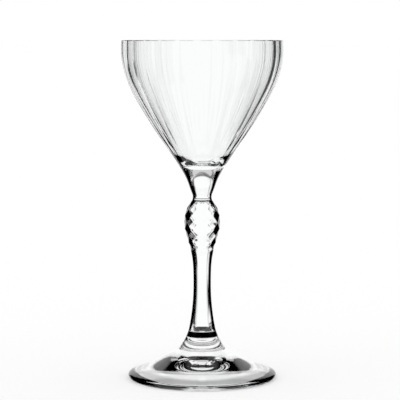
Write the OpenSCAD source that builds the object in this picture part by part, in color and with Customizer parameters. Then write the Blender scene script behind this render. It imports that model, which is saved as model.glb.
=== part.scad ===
// Nick and nora glass: a fluted bowl, a stem with a diamond-cut knop, and a round foot.
// The three pieces are fused end to end, so each ends in a flat face that the next one sits on.
// Millimetres, +Z up. The origin is on the axis, in the plane that the foot stands on.

/* [Bowl] */
// Height of the bowl, from the joint on the knop to the rim
bowl_h = 73; // [60:0.5:90]
// Diameter of the bowl where it is widest, under the rim
bowl_d = 74.2; // [62:0.2:90]
// Diameter of the bowl at the rim
rim_d = 73.6; // [60:0.2:88]
// Thickness of the wall at the rim
rim_wall = 1.3; // [1:0.1:2.5]
// Thickness of the wall where it meets the inside floor
base_wall = 3.2; // [2:0.1:4]
// Diameter of the flat part of the inside floor
floor_d = 9; // [6:0.5:12]
// Height of the solid neck, from the joint on the knop to the inside floor
neck_h = 16.6; // [12:0.2:22]
// Diameter of the joint between the neck and the knop
neck_d = 9.2; // [6:0.2:12]
// Number of flutes round the bowl
flute_count = 27; // [18:1:36]
// Angle from the front to the middle of the nearest flute
flute_turn = 3; // [0:0.5:10]
// Depth of each flute at its middle, below the ridges beside it
flute_depth = 0.4; // [0.1:0.05:0.6]
// Height of the lower tips of the flutes above the inside floor
flute_lift = 3; // [1:0.5:12]

/* [Knop] */
// Height of the knop, from the leg to the joint with the bowl
knop_h = 24; // [18:0.5:34]
// Diameter of the knop where it is widest
knop_d = 16.6; // [13:0.2:24]
// Number of diamonds round the knop
diamond_count = 9; // [6:1:12]
// Number of rows of diamonds up the knop, under its crown
diamond_rows = 3; // [2:1:5]
// Depth of each diamond at its middle, below its corners
diamond_depth = 0.6; // [0.1:0.05:0.8]

/* [Leg] */
// Height of the leg and its flare, from the joint on the foot to the knop
leg_h = 44.5; // [30:0.5:80]
// Diameter of the leg where it is thinnest, over its edges
leg_d = 7.9; // [6:0.1:11]
// Height of the round flare under the sides
flare_h = 7.6; // [5:0.2:12]
// Number of flat sides cut along the leg
side_count = 6; // [6:1:8]
// Depth of each side at its middle, below its edges
side_depth = 0.35; // [0.1:0.05:0.6]

/* [Foot] */
// Diameter of the foot
foot_d = 68; // [56:0.5:84]
// Height of the foot, from the table to its joint with the stem
foot_h = 13.5; // [10:0.5:20]
// Thickness of the foot at its round edge
foot_edge = 3; // [2:0.1:4]
// Diameter of the joint between the foot and the stem
boss_d = 21.6; // [17:0.2:26]
// Width of the flat ring that the foot stands on
rest_w = 3.4; // [2:0.2:6]
// Height of the hollow under the middle of the foot
hollow_h = 7; // [3:0.5:8]

/* [Hidden] */
$fn = 96;

bowl_r = bowl_d / 2;
rim_r = rim_d / 2;
neck_r = neck_d / 2;
knop_r = knop_d / 2;
leg_r = leg_d / 2;
boss_r = boss_d / 2;
foot_r = foot_d / 2;
cup_h = bowl_h - neck_h;
stem_h = leg_h + knop_h;
stem_z = foot_h;
bowl_z = foot_h + stem_h;

// Rounding of the rim on each side, as a share of its wall, and under the foot, as a share of its edge
rim_round_share = 0.3;
foot_round_share = 0.47;
rim_round = rim_wall * rim_round_share;
foot_round = foot_edge * foot_round_share;
rest_r = foot_r - foot_round;
hollow_r = rest_r - rest_w;
// Cuts run past the surfaces that they open by this much
overrun = rim_wall;

// Outlines hold [share of a height, share of the way between two radii]
// Neck: its height, and the radius of its joint
neck_shares = [[0.12, 0.87], [0.3, 1.2], [0.6, 1.5]];
// Cup: the height above the neck, from the radius of the joint to the widest
cup_shares = [[0.025, 0.22], [0.24, 0.485], [0.45, 0.717], [0.66, 0.915], [0.84, 1]];
// Flare and leg: their own heights, from the radius of the leg to that of the joint on the foot
flare_shares = [[0.33, 0.72], [1, 0.34]];
leg_shares = [[0.17, 0.17], [0.44, 0], [0.71, 0]];
// Knop: its height, from the radius of the leg to the widest
knop_shares = [[-0.1, 0.07], [0.17, 0.5], [0.44, 1.01], [0.69, 1.05], [0.9, 0.65]];
// Top of the foot: the height above its edge, from the radius of the joint to the widest
foot_shares = [[-0.07, 1], [0.04, 0.93], [0.2, 0.66], [0.49, 0.385], [0.8, 0.15]];
// Hollow under the foot: its height, and the radius of its opening
hollow_shares = [[1, 0.22], [0.72, 0.53], [0.27, 0.87]];
// Diamonds: heights between which their rows are counted, as shares of the knop
diamond_band_shares = [0.06, 0.85];
// Cuts reach their full depth over these shares of the cup, the flare and the knop
flute_run_share = 0.25;
side_run_share = 0.6;
diamond_run_share = 0.1;
// Diamonds run on to the joint, and fade out over this share of the knop just under it
diamond_end_share = 0.033;
// The wall of the cup thickens with this power of the distance below the rim
wall_power = 3;

// Points across a flute and round a diamond, and steps along each span of a curve
flute_steps = 3;
diamond_steps = 4;
skin_steps = 2;
smooth_steps = 4;
fine_steps = 10;
round_steps = 3;
// Rings along the leg and up each diamond
leg_rings = 18;
row_rings = 4;

function mix(a, b, share) = a + (b - a) * share;

// Point of a cubic spline, a share t along the span that four control points shape
function span_point(p, t) =
    [pow(1 - t, 3), 3 * pow(t, 3) - 6 * pow(t, 2) + 4, 3 * (t + pow(t, 2) - pow(t, 3)) + 1, pow(t, 3)] * p / 6;

// Smooth curve that starts and ends on its first and last control points
function curve(points, steps) =
    let (
        first = points[0],
        last = points[len(points) - 1],
        p = concat([first, first], points, [last, last]),
        spans = [for (i = [0:len(p) - 4]) [for (j = [0:3]) p[i + j]]]
    )
    concat([for (s = spans, k = [0:steps - 1]) span_point(s, k / steps)], [last]);

// Points round an arc, after the one that it starts at
function arc(centre, r, from, to) =
    [for (k = [1:round_steps]) let (a = mix(from, to, k / round_steps)) centre + r * [cos(a), sin(a)]];

// Place across a cut that repeats once a turn: 0 at its middle, -1 and 1 at its edges
function across(turns) = 2 * (turns - round(turns));

// Share of the full depth, easing in over a run above a start
function ease(z, start, run) =
    let (t = min(max((z - start) / run, 0), 1)) t * t * (3 - 2 * t);

// Depth of a shallow cut: full at its middle, nothing at its edges, with round tips where the share falls
function cut(place, depth, share) = depth * max(0, share - place * place);

// Point at an angle from the front, at a radius and a height
function at(angle, r, z) = [r * sin(angle), -r * cos(angle), z];

// How far from the axis the middle of a line between two points lies
function reach(p, q) = norm([p[0] + q[0], p[1] + q[1]]) / 2;

// Solid through rings of points, from the lowest ring up, that all hold the same number of points.
// Each quad between two rings folds along the diagonal that stands further out, so ridges stay whole.
module skin(rings) {
    n = len(rings[0]);
    top = (len(rings) - 1) * n;
    points = [for (ring = rings) each ring];
    walls = [
        for (i = [0:len(rings) - 2], k = [0:n - 1])
            let (a = i * n + k, b = i * n + (k + 1) % n)
            each reach(points[a], points[b + n]) > reach(points[b], points[a + n])
                ? [[a, a + n, b + n], [a, b + n, b]]
                : [[a, a + n, b], [b, a + n, b + n]]
    ];
    ends = [[for (k = [0:n - 1]) k], [for (k = [n - 1:-1:0]) top + k]];
    polyhedron(points = points, faces = concat(ends, walls), convexity = 6);
}

// Bowl

// Radius of the cup at a control point, and thickness of its wall there
function cup_r(share) = mix(neck_r, bowl_r, share);
function wall(share) = mix(rim_wall, base_wall, pow(1 - share, wall_power));

// Outside of the bowl over the ridges of its flutes, as [radius, height above the joint]
bowl_outside = concat(
    curve(
        concat(
            [[neck_r, 0]],
            [for (s = neck_shares) [neck_r * s[1], neck_h * s[0]]],
            [for (s = cup_shares) [cup_r(s[1]), neck_h + cup_h * s[0]]],
            [[rim_r, bowl_h - rim_round]]
        ),
        skin_steps
    ),
    arc([rim_r - rim_round, bowl_h - rim_round], rim_round, 0, 90)
);

// Inside of the bowl, from the middle of its floor to past the rim
lip_r = rim_r - rim_wall;
bowl_inside = concat(
    curve(
        concat(
            [[0, neck_h], [floor_d / 2, neck_h]],
            [for (s = cup_shares) [cup_r(s[1]) - wall(s[0]), neck_h + cup_h * s[0]]],
            [[lip_r, bowl_h - rim_round]]
        ),
        smooth_steps
    ),
    arc([lip_r + rim_round, bowl_h - rim_round], rim_round, 180, 90),
    [[lip_r + rim_round, bowl_h + overrun], [0, bowl_h + overrun]]
);

// Flutes run up the cup to the rounding of the rim, as deep where it is narrow as where it is wide
function flute_cut(angle, z) =
    cut(
        across((angle - flute_turn) * flute_count / 360),
        flute_depth,
        ease(z, neck_h + flute_lift, cup_h * flute_run_share)
    );

module bowl() {
    points = flute_count * flute_steps;
    rings = [
        for (p = bowl_outside)
            [for (k = [0:points - 1])
                let (angle = flute_turn + 360 * (k + 0.5) / points)
                at(angle, p[0] - flute_cut(angle, p[1]), bowl_z + p[1])]
    ];
    color("AliceBlue", 0.5)
    difference() {
        skin(rings);
        translate([0, 0, bowl_z]) rotate_extrude() polygon(bowl_inside);
    }
}

// Stem

side_h = leg_h - flare_h;
band_low = leg_h + knop_h * diamond_band_shares[0];
diamond_h = knop_h * (diamond_band_shares[1] - diamond_band_shares[0]) / diamond_rows;
row_step = diamond_h / row_rings;
diamond_end = knop_h * diamond_end_share;
crown_low = stem_h - diamond_end;

// Outside of the stem over the corners of its cuts, as [height above the foot, radius]
stem_outside = [
    for (p = curve(
        concat(
            [[boss_r, 0]],
            [for (s = flare_shares) [mix(leg_r, boss_r, s[1]), flare_h * s[0]]],
            [for (s = leg_shares) [mix(leg_r, boss_r, s[1]), flare_h + side_h * s[0]]],
            [for (s = knop_shares) [mix(leg_r, knop_r, s[1]), leg_h + knop_h * s[0]]],
            [[neck_r, stem_h]]
        ),
        fine_steps
    )) [p[1], p[0]]
];

// Sides run from the flare to the knop
function side_cut(angle, z) =
    cut(
        across(angle * side_count / 360),
        side_depth,
        ease(z, flare_h, flare_h * side_run_share) - ease(z, leg_h, knop_h * diamond_run_share)
    );

// Diamonds have a corner at the front, and one row starts half a diamond above the next
function diamond_cut(angle, z) =
    let (
        turns = angle * diamond_count / 360,
        rows = (z - band_low) / diamond_h + 0.5,
        run = knop_h * diamond_run_share,
        share = ease(z, band_low - run / 2, run) - ease(z, crown_low, diamond_end),
        up = across(turns + rows + 0.5),
        down = across(turns - rows + 0.5)
    )
    diamond_depth * share * (1 - (up * up + down * down) / 2);

// Heights of the rings: close together at the flare, on the rows of the diamonds, and up to the joint
flare_heights = [for (k = [0:leg_rings - 1]) band_low * pow(k / leg_rings, 1.4)];
band_heights = [for (k = [0:ceil((crown_low - band_low) / row_step) - 1]) band_low + row_step * k];
crown_heights = [crown_low, stem_h];

module stem() {
    points = diamond_count * diamond_steps;
    rings = [
        for (z = concat(flare_heights, band_heights, crown_heights))
            [for (k = [0:points - 1])
                let (angle = 360 * k / points, r = lookup(z, stem_outside))
                at(angle, r - side_cut(angle, z) - diamond_cut(angle, z), stem_z + z)]
    ];
    color("Azure", 0.6) skin(rings);
}

// Foot

// Top of the foot from its widest to the joint, then back along the hollow to the ring that it stands on
foot_outline = concat(
    [[rest_r, 0]],
    arc([rest_r, foot_round], foot_round, -90, 0),
    curve(
        concat(
            [[foot_r, foot_round]],
            [for (s = foot_shares) [mix(boss_r, foot_r, s[1]), mix(foot_edge, foot_h, s[0])]],
            [[boss_r, foot_h]]
        ),
        smooth_steps
    ),
    [[0, foot_h]],
    curve(
        concat(
            [[0, hollow_h]],
            [for (s = hollow_shares) [hollow_r * s[1], hollow_h * s[0]]],
            [[hollow_r, 0]]
        ),
        smooth_steps
    )
);

module foot() {
    color("AliceBlue", 0.6) rotate_extrude() polygon(foot_outline);
}

bowl();
stem();
foot();
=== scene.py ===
"""Nick and nora glass: a fluted bowl, a stem with a diamond-cut knop, and a round foot.

Each piece is turned from its outline, and its flutes, diamonds or sides are then pressed in.
Metres, +Z up. The origin is on the axis, in the plane that the foot stands on.
"""

import math
from bisect import bisect

import bmesh
import bpy
from bpy.props import FloatProperty, FloatVectorProperty, IntProperty, PointerProperty
from mathutils import Euler, Matrix, Vector


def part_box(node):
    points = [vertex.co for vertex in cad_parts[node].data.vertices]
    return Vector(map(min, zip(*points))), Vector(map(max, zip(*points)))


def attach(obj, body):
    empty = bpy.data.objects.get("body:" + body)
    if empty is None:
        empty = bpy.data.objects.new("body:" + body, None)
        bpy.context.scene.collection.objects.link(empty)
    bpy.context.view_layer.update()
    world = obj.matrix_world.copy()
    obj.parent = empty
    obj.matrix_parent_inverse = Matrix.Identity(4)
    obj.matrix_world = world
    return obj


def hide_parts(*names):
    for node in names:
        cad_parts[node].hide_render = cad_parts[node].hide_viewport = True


bl_info = {
    "name": "Nick and Nora Glass",
    "version": (1, 0, 0),
    "blender": (4, 5, 0),
    "location": "View3D > Sidebar > Glass",
    "description": "Builds a fluted stemmed glass and its studio around a packed frame",
    "category": "Add Mesh",
}

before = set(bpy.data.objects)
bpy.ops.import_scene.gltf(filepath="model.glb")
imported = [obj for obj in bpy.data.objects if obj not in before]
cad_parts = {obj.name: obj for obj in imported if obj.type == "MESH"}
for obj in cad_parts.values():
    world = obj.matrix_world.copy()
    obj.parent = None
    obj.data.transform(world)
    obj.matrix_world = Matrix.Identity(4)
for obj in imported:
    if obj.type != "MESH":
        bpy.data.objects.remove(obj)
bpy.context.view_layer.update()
BOWL_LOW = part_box("bowl")[0]
STEM_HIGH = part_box("stem")[1]
FOOT_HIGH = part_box("foot")[1]
MM = 0.001
TINY = 1e-6

# Outlines hold (share of a height, share of the way between two radii)
NECK_SHARES = ((0.12, 0.87), (0.3, 1.2), (0.6, 1.5))
CUP_SHARES = ((0.025, 0.22), (0.24, 0.485), (0.45, 0.717), (0.66, 0.915), (0.84, 1))
FLARE_SHARES = ((0.33, 0.72), (1, 0.34))
LEG_SHARES = ((0.17, 0.17), (0.44, 0), (0.71, 0))
KNOP_SHARES = ((-0.1, 0.07), (0.17, 0.5), (0.44, 1.01), (0.69, 1.05), (0.9, 0.65))
FOOT_SHARES = ((-0.07, 1), (0.04, 0.93), (0.2, 0.66), (0.49, 0.385), (0.8, 0.15))
HOLLOW_SHARES = ((1, 0.22), (0.72, 0.53), (0.27, 0.87))

# Shares of the size that each follows
LIP_SHARE = 0.3  # the rim's rounding, of its wall
FLUTE_RUN_SHARE = 0.25  # how far a flute takes to reach its depth, of the cup's height
CROWD_SHARE = 0.6  # how much the mesh crowds at the flutes' edges
SIDE_RUN_SHARE = 0.6  # how far a side takes to reach its depth, of the flare's height
DIAMOND_SHARES = (0.06, 0.85)  # where the diamonds begin and end, of the knop's height
DIAMOND_RUN_SHARE = 0.1  # how far the diamonds fade in, of the knop's height
EDGE_SHARE = 0.47  # the rounding of the foot's edge, of its thickness

# Power with which the wall of the bowl thins from its floor to its rim
THINNING = 3

# Mesh steps between two points of an outline
BOWL_OUTSIDE_STEPS = 10
BOWL_INSIDE_STEPS = 8
STEM_STEPS = 14
FOOT_UNDER_STEPS = 10
FOOT_TOP_STEPS = 12

# Mesh steps across one flute, round the stem and round the foot
FLUTE_TURN_STEPS = 14
STEM_TURN_STEPS = 360
FOOT_TURN_STEPS = 288

# Least upward or downward part of the normal of a flat face
FLAT = 0.999

# Look of the glass, with shade painted into its colour
SLANT_START, SLANT_END = 0.27, 0.36  # where the painted shade at a slant begins, and where it is full
EDGE_FADE = MM  # soft edge of the stretches of painted shade
LEG_FADE = 5 * MM  # the same at the top of the leg
NECK_GAP = 2 * MM  # the neck's painted shade stops so far under the inside floor
LEG_REACH = 4 * MM  # the leg's later painted shade reaches so far into the knop
RING_DROP, RING_HALF = 0.5 * MM, 1.4 * MM  # the painted dark band of shade round the leg: how far under the leg's sides, and half its height
JOINT_HALF = 0.3 * MM  # half the height of the painted dark band of shade at the bowl's joint
RING_SOFT = 0.2  # share of that half that fades
RIPPLE_SCALE = 70

# Stage
EYE = (-0.001, -0.8, 0.1565)  # the camera's place, in metres
TILT = 5.315  # how far it looks down, in degrees
LENS, SENSOR = 157.95, 36  # in millimetres
FLOOR_RADIUS = 30  # in metres
DISC_SIDES = 96
SHADE_INSET, SHADE_DROP = MM, 0.1 * MM  # the painted shadow disc lies so far inside the foot's edge, and under the floor
POOL_SOFT = 4 * MM

# Bright panels round the glass, in degrees: from and to, left to right with 0 straight behind the glass
# and 180 behind the camera, then how far down and up, how bright through the glass, and how bright in
# its reflections
PANELS = (
    (-26, 26, -99, 25, 1, 1),  # behind
    (-32, 32, -99, -3.5, 1, 1),  # behind, wider low down
    (-28, 28, 20, 38, 1, 1),  # behind, high up, for the top of the neck
    (-110, -70, -60, 30, 1, 0),  # left
    (100, 190, -99, 99, 1, 0.9),  # from the right round to the camera
    (-190, -140, -99, 99, 1, 0.9),  # left of the camera
    (-150, -100, -99, 99, 0, 0.9),  # further left, in reflections alone
    (-80, -30, -31, -18, 1, 0),  # behind on the left, low down
    (-62, -28, -8, 42, 1, 0),  # behind on the left, high up
    (-190, 190, -99, -42, 0.9, 0.9),  # underneath
    (-190, 190, 60, 99, 0.6, 0.6),  # overhead
)
TURN_SOFT, TALL_SOFT = 3, 2  # soft edges of the panels, in degrees
HALF_TURN, QUARTER_TURN = 180, 90


class BowlSizes(bpy.types.PropertyGroup):
    """Sizes of the bowl and its neck."""

    height: FloatProperty(
        name="Height", description="From the joint on the knop to the rim",
        default=73 * MM, unit="LENGTH",
    )
    width: FloatProperty(
        name="Width", description="Diameter where the bowl is widest",
        default=74.2 * MM, unit="LENGTH",
    )
    rim_width: FloatProperty(
        name="Rim Width", description="Diameter at the rim",
        default=73.6 * MM, unit="LENGTH",
    )
    rim_wall: FloatProperty(
        name="Rim Wall", description="Thickness of the wall at the rim",
        default=1.3 * MM, unit="LENGTH",
    )
    base_wall: FloatProperty(
        name="Base Wall", description="Thickness of the wall at the inside floor",
        default=3.2 * MM, unit="LENGTH",
    )
    floor_width: FloatProperty(
        name="Floor Width", description="Diameter of the flat part of the inside floor",
        default=9 * MM, unit="LENGTH",
    )
    neck_height: FloatProperty(
        name="Neck Height", description="Height of the solid neck under the inside floor",
        default=16.6 * MM, unit="LENGTH",
    )
    neck_width: FloatProperty(
        name="Neck Width", description="Diameter of the joint on the knop",
        default=9.2 * MM, unit="LENGTH",
    )
    flutes: IntProperty(
        name="Flutes", description="Number of flutes round the bowl",
        default=27,
    )
    flute_turn: FloatProperty(
        name="Flute Turn", description="Angle from the front to the middle of the nearest flute",
        default=math.radians(3), subtype="ANGLE",
    )
    flute_depth: FloatProperty(
        name="Flute Depth", description="Depth of each flute at its middle",
        default=0.4 * MM, unit="LENGTH",
    )
    flute_lift: FloatProperty(
        name="Flute Lift", description="Height of the lower tips of the flutes above the floor",
        default=3 * MM, unit="LENGTH",
    )


class StemSizes(bpy.types.PropertyGroup):
    """Sizes of the leg and its knop."""

    leg_height: FloatProperty(
        name="Leg Height", description="From the joint on the foot to the knop",
        default=44.5 * MM, unit="LENGTH",
    )
    leg_width: FloatProperty(
        name="Leg Width", description="Diameter of the leg where it is thinnest",
        default=7.9 * MM, unit="LENGTH",
    )
    flare_height: FloatProperty(
        name="Flare Height", description="Height of the round flare under the sides",
        default=7.6 * MM, unit="LENGTH",
    )
    joint_width: FloatProperty(
        name="Joint Width", description="Diameter of the joint on the foot",
        default=21.6 * MM, unit="LENGTH",
    )
    sides: IntProperty(
        name="Sides", description="Number of flat sides along the leg",
        default=6,
    )
    side_depth: FloatProperty(
        name="Side Depth", description="Depth of each side at its middle",
        default=0.35 * MM, unit="LENGTH",
    )
    knop_height: FloatProperty(
        name="Knop Height", description="From the leg to the joint with the bowl",
        default=24 * MM, unit="LENGTH",
    )
    knop_width: FloatProperty(
        name="Knop Width", description="Diameter of the knop where it is widest",
        default=16.6 * MM, unit="LENGTH",
    )
    diamonds: IntProperty(
        name="Diamonds", description="Number of diamonds round the knop",
        default=9,
    )
    diamond_rows: IntProperty(
        name="Diamond Rows", description="Number of diamonds up the knop",
        default=3,
    )
    diamond_depth: FloatProperty(
        name="Diamond Depth", description="Depth of each diamond at its middle",
        default=0.6 * MM, unit="LENGTH",
    )


class FootSizes(bpy.types.PropertyGroup):
    """Sizes of the foot."""

    width: FloatProperty(
        name="Width", description="Diameter of the foot",
        default=68 * MM, unit="LENGTH",
    )
    height: FloatProperty(
        name="Height", description="From the table to the joint with the stem",
        default=13.5 * MM, unit="LENGTH",
    )
    edge: FloatProperty(
        name="Edge", description="Thickness at the round edge",
        default=3 * MM, unit="LENGTH",
    )
    rest: FloatProperty(
        name="Rest", description="Width of the flat ring that the foot stands on",
        default=3.4 * MM, unit="LENGTH",
    )
    hollow: FloatProperty(
        name="Hollow", description="Height of the hollow under the middle",
        default=7 * MM, unit="LENGTH",
    )


class GlassLook(bpy.types.PropertyGroup):
    """Look of the glass."""

    tint: FloatVectorProperty(
        name="Tint", description="Colour of the glass",
        default=(0.985, 0.992, 0.992), subtype="COLOR", min=0, max=1,
    )
    bend: FloatProperty(
        name="Refraction", description="Index of refraction",
        default=1.52,
    )
    ripple: FloatProperty(
        name="Ripple", description="Depth of the ripple of the surface",
        default=0.03 * MM, unit="LENGTH",
    )
    # How much later the painted shade at a slant begins on the neck and on the thin leg
    neck_delay: FloatProperty(
        name="Neck Delay", description="How much later the neck darkens at a slant than the knop",
        default=0.06,
    )
    leg_delay: FloatProperty(
        name="Leg Delay", description="How much later the thin leg darkens at a slant than the knop",
        default=0.13,
    )
    # The painted shade lines along the edges of the leg's sides: how wide they are and how dark
    crease: FloatProperty(
        name="Crease", description="Share of a side that the dark line along its edge fills",
        default=0.05,
    )
    crease_shade: FloatProperty(
        name="Crease Dark", description="How dark the lines along the sides are",
        default=0.5,
    )


class StudioLook(bpy.types.PropertyGroup):
    """Look of the studio."""

    gap: FloatProperty(
        name="Gap", description="Brightness of the gaps between the panels",
        default=0.0,
    )
    floor_colour: FloatProperty(
        name="Floor Colour", description="How pale the floor is",
        default=0.8,
    )
    # The painted pool of light and painted shadow on the disc seen through the foot
    pool: FloatProperty(
        name="Pool", description="Radius of the pool of light on the floor under the foot",
        default=21 * MM, unit="LENGTH",
    )
    shade: FloatProperty(
        name="Shade", description="How bright the floor is in the shade round that pool",
        default=0.5,
    )


def mix(a, b, share):
    """The value that lies a share of the way from a to b."""
    return a + (b - a) * share


def smooth_line(points, steps):
    """Smooth line, a cubic B-spline, that follows a few points from the first to the last."""
    first, last = Vector(points[0]), Vector(points[-1])
    p = [first, first, *map(Vector, points), last, last]
    line = []
    for i in range(len(p) - 3):
        for k in range(steps):
            t = k / steps
            line.append(
                (
                    p[i] * (1 - t) ** 3
                    + p[i + 1] * (3 * t**3 - 6 * t**2 + 4)
                    + p[i + 2] * (3 * (t + t**2 - t**3) + 1)
                    + p[i + 3] * t**3
                )
                / 6
            )
    return [*line, last]


def arc_line(centre, radius, start, end, steps=6):
    """Points round an arc, after the one that it starts at."""
    angles = [math.radians(mix(start, end, (k + 1) / steps)) for k in range(steps)]
    return [Vector((centre[0] + radius * math.cos(a), centre[1] + radius * math.sin(a))) for a in angles]


def across(turns):
    """Place across a cut that repeats once a turn: 0 at its middle, -1 and 1 at its edges."""
    return 2 * (turns - round(turns))


def ease(z, start, run):
    """Goes smoothly from 0 at the start to 1 a run above it."""
    t = min(max((z - start) / run, 0), 1)
    return t * t * (3 - 2 * t)


def turned(outline, steps, sectors=12):
    """Turns an outline of (radius, height) through one sector, and repeats that round the axis.

    Points that meet at the seams and poles are joined.
    """
    bm = bmesh.new()
    verts = [bm.verts.new((0, -p[0], p[1])) for p in outline]
    edges = [bm.edges.new(pair) for pair in zip(verts, verts[1:])]
    turn = 2 * math.pi / sectors
    bmesh.ops.spin(
        bm, geom=verts + edges, cent=(0, 0, 0), axis=(0, 0, 1), dvec=(0, 0, 0),
        angle=turn, steps=steps // sectors, use_duplicate=False,
    )
    sector = bm.verts[:] + bm.edges[:] + bm.faces[:]
    for k in range(1, sectors):
        copy = bmesh.ops.duplicate(bm, geom=sector)["geom"]
        moved = [v for v in copy if isinstance(v, bmesh.types.BMVert)]
        bmesh.ops.rotate(bm, verts=moved, cent=(0, 0, 0), matrix=Matrix.Rotation(k * turn, 3, "Z"))
    bmesh.ops.remove_doubles(bm, verts=bm.verts, dist=TINY)
    bmesh.ops.recalc_face_normals(bm, faces=bm.faces)
    return bm


def crowd(bm, count, share):
    """Slides points round the axis, so that they crowd at the edges of a cut that repeats count times."""
    for v in bm.verts:
        angle = math.atan2(v.co.x, -v.co.y)
        turn = share * math.sin(angle * count) / count
        v.co.rotate(Matrix.Rotation(turn, 3, "Z"))


def press(bm, depth):
    """Moves each point towards the axis by depth(angle from the front in degrees, radius, height)."""
    for v in bm.verts:
        r = math.hypot(v.co.x, v.co.y)
        if r > TINY:
            d = depth(math.degrees(math.atan2(v.co.x, -v.co.y)), r, v.co.z)
            v.co.x *= (r - d) / r
            v.co.y *= (r - d) / r


def finished(bm, name, node, materials, joints):
    """Makes the piece from its mesh: smooth walls, and flat see-through faces at its fused joints."""
    for f in bm.faces:
        f.smooth = True
        z = f.calc_center_median().z
        if abs(f.normal.z) > FLAT and any(abs(z - j) < TINY for j in joints):
            f.smooth = False
            f.material_index = 1
    for e in bm.edges:
        if len({f.material_index == 1 for f in e.link_faces}) > 1:
            e.smooth = False
    mesh = bpy.data.meshes.new(name)
    bm.to_mesh(mesh)
    bm.free()
    piece = bpy.data.objects.new(name, mesh)
    bpy.context.scene.collection.objects.link(piece)
    for m in materials:
        mesh.materials.append(m)
    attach(piece, "root")
    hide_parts(node)
    return piece


def maths(tree, operation, *values):
    """Adds a Math node, whose inputs are numbers or sockets, and returns its output."""
    node = tree.nodes.new("ShaderNodeMath")
    node.operation = operation
    for socket, value in zip(node.inputs, values):
        if isinstance(value, bpy.types.NodeSocket):
            tree.links.new(value, socket)
        else:
            socket.default_value = value
    return node.outputs[0]


def rise(tree, value, low, high):
    """Goes smoothly from 0 where the value is low to 1 where it is high."""
    node = tree.nodes.new("ShaderNodeMapRange")
    node.interpolation_type = "SMOOTHSTEP"
    tree.links.new(value, node.inputs["Value"])
    node.inputs["From Min"].default_value = low
    node.inputs["From Max"].default_value = high
    return node.outputs[0]


def glass(name, look, thick=None, delay=0, leg=None, shade_rings=(), sides=0):
    """Clear glass.

    Between the two heights of thick its colour and reflections are painted dark, a painted shade where it is
    seen at a slant, by delay later, and still later between the two of leg. Each ring is the middle and half
    the height of a painted dark band of shade round the axis, and sides the number of painted shade lines on
    the leg's edges.
    """
    m = bpy.data.materials.new(name)
    m.use_nodes = True
    tree = m.node_tree
    nodes, links = tree.nodes, tree.links
    shader = nodes["Principled BSDF"]
    shader.inputs["Transmission Weight"].default_value = 1
    shader.inputs["Roughness"].default_value = 0
    shader.inputs["IOR"].default_value = look.bend
    shader.inputs["Base Color"].default_value = (*look.tint, 1)
    place = nodes.new("ShaderNodeTexCoord")
    ripple = nodes.new("ShaderNodeTexNoise")
    ripple.inputs["Scale"].default_value = RIPPLE_SCALE
    ripple.inputs["Detail"].default_value = 1
    bump = nodes.new("ShaderNodeBump")
    bump.inputs["Strength"].default_value = 1
    bump.inputs["Distance"].default_value = look.ripple
    links.new(place.outputs["Object"], ripple.inputs["Vector"])
    links.new(ripple.outputs["Fac"], bump.inputs["Height"])
    links.new(bump.outputs["Normal"], shader.inputs["Normal"])
    axes = nodes.new("ShaderNodeSeparateXYZ")
    links.new(place.outputs["Object"], axes.inputs[0])
    x, y, z = axes.outputs
    slant = nodes.new("ShaderNodeLayerWeight")
    facing = slant.outputs["Facing"]

    # Painted shade: between the heights of thick the colour is painted dark where the glass is seen at a
    # slant
    if thick:
        if leg:
            above = rise(tree, z, leg[0], leg[0] + EDGE_FADE)
            below = rise(tree, z, leg[1], leg[1] - LEG_FADE)
            thin = maths(tree, "MULTIPLY", above, below)
            facing = maths(tree, "SUBTRACT", facing, maths(tree, "MULTIPLY", thin, look.leg_delay))
        above = rise(tree, z, thick[0], thick[0] + EDGE_FADE)
        below = rise(tree, z, thick[1] + EDGE_FADE, thick[1] - EDGE_FADE)
        dark = rise(tree, facing, SLANT_START + delay, SLANT_END + delay)
        shade = maths(tree, "MULTIPLY", dark, maths(tree, "MULTIPLY", above, below))
        # Painted shade: dark bands round the axis at the joints and under the leg's sides
        for middle, half in shade_rings:
            off = maths(tree, "ABSOLUTE", maths(tree, "SUBTRACT", z, middle))
            ring = rise(tree, off, half * (1 + RING_SOFT), half * (1 - RING_SOFT))
            shade = maths(tree, "MAXIMUM", shade, ring)
        # Painted shade: thin dark lines along the edges of the leg's sides
        if sides:
            around = maths(tree, "ARCTAN2", x, maths(tree, "MULTIPLY", y, -1))
            turns = maths(tree, "FRACT", maths(tree, "MULTIPLY", around, sides / (2 * math.pi)))
            off = maths(tree, "ABSOLUTE", maths(tree, "SUBTRACT", turns, 0.5))
            line = rise(tree, off, look.crease, 0)
            line = maths(tree, "MULTIPLY", maths(tree, "MULTIPLY", line, thin), look.crease_shade)
            shade = maths(tree, "MAXIMUM", shade, line)
        # The painted shade darkens the glass's colour and its reflections alike
        tint = nodes.new("ShaderNodeMix")
        tint.data_type = "RGBA"
        tint.inputs["A"].default_value = (*look.tint, 1)
        tint.inputs["B"].default_value = (0, 0, 0, 1)
        links.new(shade, tint.inputs["Factor"])
        links.new(tint.outputs["Result"], shader.inputs["Base Color"])
        links.new(tint.outputs["Result"], shader.inputs["Specular Tint"])
    return m


def fused(name):
    """The face inside a fused joint, which doesn't show."""
    m = bpy.data.materials.new(name)
    m.use_nodes = True
    shader = m.node_tree.nodes["Principled BSDF"]
    shader.inputs["Base Color"].default_value = (1, 1, 1, 1)
    shader.inputs["Alpha"].default_value = 0
    return m


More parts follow.
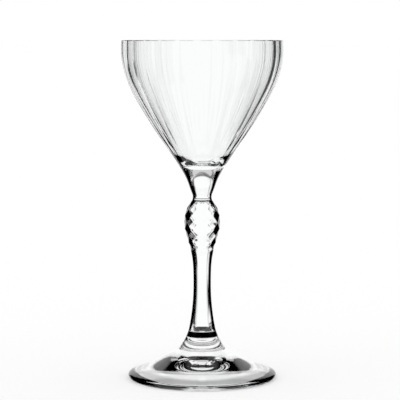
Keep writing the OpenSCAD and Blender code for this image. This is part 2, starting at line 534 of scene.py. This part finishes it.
class GLASS_OT_bowl(bpy.types.Operator):
    """Build the fluted bowl and its solid neck"""

    bl_idname = "glass.bowl"
    bl_label = "Bowl"

    def execute(self, context):
        s = context.scene.bowl_sizes
        base = STEM_HIGH.z
        neck_r, bowl_r, rim_r = s.neck_width / 2, s.width / 2, s.rim_width / 2
        cup = s.height - s.neck_height
        floor = base + s.neck_height
        rim = base + s.height
        lip = s.rim_wall * LIP_SHARE
        outside = [(neck_r, base)]
        outside += [(neck_r * b, base + s.neck_height * a) for a, b in NECK_SHARES]
        outside += [(mix(neck_r, bowl_r, b), floor + cup * a) for a, b in CUP_SHARES]
        outside += [(rim_r, rim - lip)]
        inside = [(0, floor), (s.floor_width / 2, floor)]
        for a, b in CUP_SHARES:
            wall = mix(s.rim_wall, s.base_wall, (1 - a) ** THINNING)
            inside += [(mix(neck_r, bowl_r, b) - wall, floor + cup * a)]
        inside += [(rim_r - s.rim_wall, rim - lip)]
        skin = smooth_line(outside, BOWL_OUTSIDE_STEPS)
        inner_lip_r = rim_r - s.rim_wall + lip
        outline = [Vector((0, base)), *skin]
        outline += arc_line((rim_r - lip, rim - lip), lip, 0, 90)
        outline += [Vector((inner_lip_r, rim))]
        outline += arc_line((inner_lip_r, rim - lip), lip, 90, 180)
        outline += list(reversed(smooth_line(inside, BOWL_INSIDE_STEPS)))[1:]
        bm = turned(outline, FLUTE_TURN_STEPS * s.flutes, s.flutes)
        crowd(bm, s.flutes, CROWD_SHARE)
        turn = Matrix.Rotation(s.flute_turn, 3, "Z")
        bmesh.ops.rotate(bm, verts=bm.verts, cent=(0, 0, 0), matrix=turn)
        start = math.degrees(s.flute_turn)
        middles = [(p[1], p[0] - s.rim_wall / 2) for p in skin]

        def flute(angle, r, z):
            if z <= floor + s.flute_lift or z > rim - lip / 2:
                return 0
            k = bisect(middles, (z - TINY, 0))
            if r < middles[min(k, len(middles) - 1)][1]:
                return 0
            share = ease(z, floor + s.flute_lift, cup * FLUTE_RUN_SHARE)
            return s.flute_depth * max(0, share - across((angle - start) * s.flutes / 360) ** 2)

        press(bm, flute)
        look = context.scene.glass_look
        # Painted shade: the neck dark where seen at a slant, up to under the inside floor, and a dark band at
        # the joint on the knop
        thick = (0, floor - NECK_GAP)
        clear = glass("Bowl Glass", look, thick, look.neck_delay, shade_rings=[(base, JOINT_HALF)])
        finished(bm, "Bowl", "bowl", [clear, fused("Bowl Joint")], [base])
        return {"FINISHED"}


class GLASS_OT_stem(bpy.types.Operator):
    """Build the leg with its sides and the knop with its diamonds"""

    bl_idname = "glass.stem"
    bl_label = "Stem"

    def execute(self, context):
        s = context.scene.stem_sizes
        base = FOOT_HIGH.z
        top = BOWL_LOW.z
        leg_r, joint_r, knop_r = s.leg_width / 2, s.joint_width / 2, s.knop_width / 2
        neck_r = context.scene.bowl_sizes.neck_width / 2
        leg_top = base + s.leg_height
        flare_top = base + s.flare_height
        side = s.leg_height - s.flare_height
        points = [(joint_r, base)]
        points += [(mix(leg_r, joint_r, b), base + s.flare_height * a) for a, b in FLARE_SHARES]
        points += [(mix(leg_r, joint_r, b), flare_top + side * a) for a, b in LEG_SHARES]
        points += [(mix(leg_r, knop_r, b), leg_top + s.knop_height * a) for a, b in KNOP_SHARES]
        points += [(neck_r, top)]
        outline = [Vector((0, base)), *smooth_line(points, STEM_STEPS), Vector((0, top))]
        bm = turned(outline, STEM_TURN_STEPS)
        low, high = (leg_top + s.knop_height * share for share in DIAMOND_SHARES)
        row = (high - low) / s.diamond_rows
        run = s.knop_height * DIAMOND_RUN_SHARE

        def cuts(angle, r, z):
            share = ease(z, flare_top, s.flare_height * SIDE_RUN_SHARE) - ease(z, leg_top, run)
            side_cut = s.side_depth * max(0, share - across(angle * s.sides / 360) ** 2)
            turns, rows = angle * s.diamonds / 360, (z - low) / row + 0.5
            up, down = across(turns + rows + 0.5), across(turns - rows + 0.5)
            share = ease(z, low - run / 2, run) - ease(z, top - run / 3, run / 3)
            return side_cut + s.diamond_depth * share * (1 - (up * up + down * down) / 2)

        press(bm, cuts)
        look = context.scene.glass_look
        # Painted shade: knop and leg dark where seen at a slant, dark bands under the leg's sides and at the
        # bowl's joint, dark lines on the leg's edges
        thick = (flare_top, top + s.knop_height)
        leg = (flare_top, leg_top + LEG_REACH)
        shade_rings = ((flare_top - RING_DROP, RING_HALF), (top, JOINT_HALF))
        clear = glass("Stem Glass", look, thick, leg=leg, shade_rings=shade_rings, sides=s.sides)
        finished(bm, "Stem", "stem", [clear, fused("Stem Joint")], [base, top])
        return {"FINISHED"}


class GLASS_OT_foot(bpy.types.Operator):
    """Build the round foot, hollow underneath"""

    bl_idname = "glass.foot"
    bl_label = "Foot"

    def execute(self, context):
        s = context.scene.foot_sizes
        joint_r = context.scene.stem_sizes.joint_width / 2
        foot_r = s.width / 2
        bend = s.edge * EDGE_SHARE
        rest_r = foot_r - bend
        hollow_r = rest_r - s.rest
        top = [(foot_r, bend)]
        top += [(mix(joint_r, foot_r, b), mix(s.edge, s.height, a)) for a, b in FOOT_SHARES]
        top += [(joint_r, s.height)]
        under = [(0, s.hollow)]
        under += [(hollow_r * b, s.hollow * a) for a, b in HOLLOW_SHARES]
        under += [(hollow_r, 0)]
        outline = smooth_line(under, FOOT_UNDER_STEPS) + [Vector((rest_r, 0))]
        outline += arc_line((rest_r, bend), bend, -90, 0)
        outline += smooth_line(top, FOOT_TOP_STEPS)[1:] + [Vector((0, s.height))]
        bm = turned(outline, FOOT_TURN_STEPS)
        clear = glass("Foot Glass", context.scene.glass_look)
        finished(bm, "Foot", "foot", [clear, fused("Foot Joint")], [s.height])
        return {"FINISHED"}


class GLASS_OT_studio(bpy.types.Operator):
    """Build the floor, the light and the camera"""

    bl_idname = "glass.studio"
    bl_label = "Studio"

    def execute(self, context):
        scene = context.scene
        look = scene.studio_look
        scene.view_settings.view_transform = "Standard"
        self.floor(scene, look)
        self.shade(scene, look)
        self.world(scene, look)
        camera = bpy.data.cameras.new("Camera")
        camera.sensor_width = SENSOR
        camera.lens = LENS
        eye = bpy.data.objects.new("Camera", camera)
        eye.location = EYE
        eye.rotation_euler = Euler((math.radians(90 - TILT), 0, 0))
        scene.collection.objects.link(eye)
        scene.camera = eye
        return {"FINISHED"}

    def disc(self, scene, name, radius, height):
        """Adds a round piece of the stage, and returns it with its shader."""
        bm = bmesh.new()
        bmesh.ops.create_circle(bm, cap_ends=True, segments=DISC_SIDES, radius=radius)
        bmesh.ops.translate(bm, verts=bm.verts, vec=(0, 0, height))
        mesh = bpy.data.meshes.new(name)
        bm.to_mesh(mesh)
        bm.free()
        disc = bpy.data.objects.new(name, mesh)
        scene.collection.objects.link(disc)
        m = bpy.data.materials.new(name)
        m.use_nodes = True
        mesh.materials.append(m)
        shader = m.node_tree.nodes["Principled BSDF"]
        shader.inputs["Roughness"].default_value = 1
        shader.inputs["Specular IOR Level"].default_value = 0
        shader.inputs["Emission Color"].default_value = (1, 1, 1, 1)
        return disc, m.node_tree, shader

    def floor(self, scene, look):
        """The pale floor, which shows neither in nor through the glass, so that its edges stay dark."""
        floor, tree, shader = self.disc(scene, "Floor", FLOOR_RADIUS, 0)
        floor.visible_transmission = False
        floor.visible_glossy = False
        shader.inputs["Base Color"].default_value = (look.floor_colour,) * 3 + (1,)
        path = tree.nodes.new("ShaderNodeLightPath")
        lift = maths(tree, "MULTIPLY", path.outputs["Is Camera Ray"], 1 - look.floor_colour)
        tree.links.new(lift, shader.inputs["Emission Strength"])

    def shade(self, scene, look):
        """The painted shadow under the foot, seen only through the glass, with a painted pool of light under
        the stem.
        """
        radius = scene.foot_sizes.width / 2 - SHADE_INSET
        disc, tree, shader = self.disc(scene, "Shade", radius, -SHADE_DROP)
        disc.visible_camera = False
        disc.visible_diffuse = False
        disc.visible_shadow = False
        shader.inputs["Base Color"].default_value = (0, 0, 0, 1)
        place = tree.nodes.new("ShaderNodeTexCoord")
        away = tree.nodes.new("ShaderNodeVectorMath")
        away.operation = "LENGTH"
        tree.links.new(place.outputs["Object"], away.inputs[0])
        lit = rise(tree, away.outputs["Value"], look.pool + POOL_SOFT, look.pool - POOL_SOFT)
        glow = maths(tree, "MULTIPLY_ADD", lit, 1 - look.shade, look.shade)
        tree.links.new(glow, shader.inputs["Emission Strength"])

    def world(self, scene, look):
        """The light: white all round, with panels and dark gaps that show only through and in the glass."""
        world = bpy.data.worlds.new("Studio")
        scene.world = world
        world.use_nodes = True
        tree = world.node_tree
        nodes, links = tree.nodes, tree.links
        background = nodes["Background"]

        def ramp(value, stops):
            """Adds a Color Ramp node through the stops, and returns its output."""
            node = nodes.new("ShaderNodeValToRGB")
            links.new(value, node.inputs[0])
            marks = node.color_ramp.elements
            while len(marks) < len(stops):
                marks.new(0.5)
            for mark, (place, level) in zip(marks, stops):
                mark.position = place
                mark.color = (level, level, level, 1)
            return node.outputs[0]

        way = nodes.new("ShaderNodeTexCoord")
        axes = nodes.new("ShaderNodeSeparateXYZ")
        links.new(way.outputs["Generated"], axes.inputs[0])
        x, y, z = axes.outputs
        turn = maths(tree, "MULTIPLY_ADD", maths(tree, "ARCTAN2", x, y), 0.5 / math.pi, 0.5)
        tall = maths(tree, "MULTIPLY_ADD", maths(tree, "ARCSINE", z), 1 / math.pi, 0.5)

        def band(value, low, high, span, soft):
            """1 from low to high, with soft ends; 0 to 1 in the value stands for -span to span."""
            stops = [(-span, low - soft <= -span), (low - soft, 0), (low + soft, 1)]
            stops += [(high - soft, 1), (high + soft, 0), (span, high + soft >= span)]
            return ramp(value, [(a / span / 2 + 0.5, v) for a, v in stops if -span <= a <= span])

        path = nodes.new("ShaderNodeLightPath")
        mirrored = path.outputs["Is Reflection Ray"]
        level = look.gap
        for low, high, bottom, top, bright, shine in PANELS:
            sideways = band(turn, low, high, HALF_TURN, TURN_SOFT)
            upright = band(tall, bottom, top, QUARTER_TURN, TALL_SOFT)
            panel = maths(tree, "MULTIPLY", sideways, upright)
            power = maths(tree, "MULTIPLY_ADD", mirrored, shine - bright, bright)
            level = maths(tree, "MAXIMUM", level, maths(tree, "MULTIPLY", panel, power))
        seen = maths(tree, "MAXIMUM", path.outputs["Is Transmission Ray"], path.outputs["Is Glossy Ray"])
        level = maths(tree, "MULTIPLY_ADD", maths(tree, "SUBTRACT", level, 1), seen, 1)
        background.inputs["Color"].default_value = (1, 1, 1, 1)
        links.new(level, background.inputs["Strength"])


class GLASS_PT_pieces(bpy.types.Panel):
    """Lists the pieces of the glass and its studio"""

    bl_label = "Nick and Nora Glass"
    bl_idname = "GLASS_PT_pieces"
    bl_space_type = "VIEW_3D"
    bl_region_type = "UI"
    bl_category = "Glass"

    def draw(self, context):
        for title, sizes, operator in PIECES:
            group = getattr(context.scene, sizes)
            box = self.layout.box()
            box.label(text=title)
            for name in group.__annotations__:
                box.prop(group, name)
            if operator:
                box.operator(operator)


PIECES = (
    ("Bowl", "bowl_sizes", "glass.bowl"),
    ("Stem", "stem_sizes", "glass.stem"),
    ("Foot", "foot_sizes", "glass.foot"),
    ("Glass", "glass_look", ""),
    ("Studio", "studio_look", "glass.studio"),
)
GROUPS = {
    "bowl_sizes": BowlSizes,
    "stem_sizes": StemSizes,
    "foot_sizes": FootSizes,
    "glass_look": GlassLook,
    "studio_look": StudioLook,
}
OPERATORS = (GLASS_OT_bowl, GLASS_OT_stem, GLASS_OT_foot, GLASS_OT_studio)
CLASSES = (*GROUPS.values(), *OPERATORS, GLASS_PT_pieces)


def register():
    for c in CLASSES:
        bpy.utils.register_class(c)
    for name, group in GROUPS.items():
        setattr(bpy.types.Scene, name, PointerProperty(type=group))


def unregister():
    for name in GROUPS:
        delattr(bpy.types.Scene, name)
    for c in reversed(CLASSES):
        bpy.utils.unregister_class(c)


def main():
    register()
    for make in (bpy.ops.glass.bowl, bpy.ops.glass.stem, bpy.ops.glass.foot, bpy.ops.glass.studio):
        make()


if __name__ == "__main__":
    main()
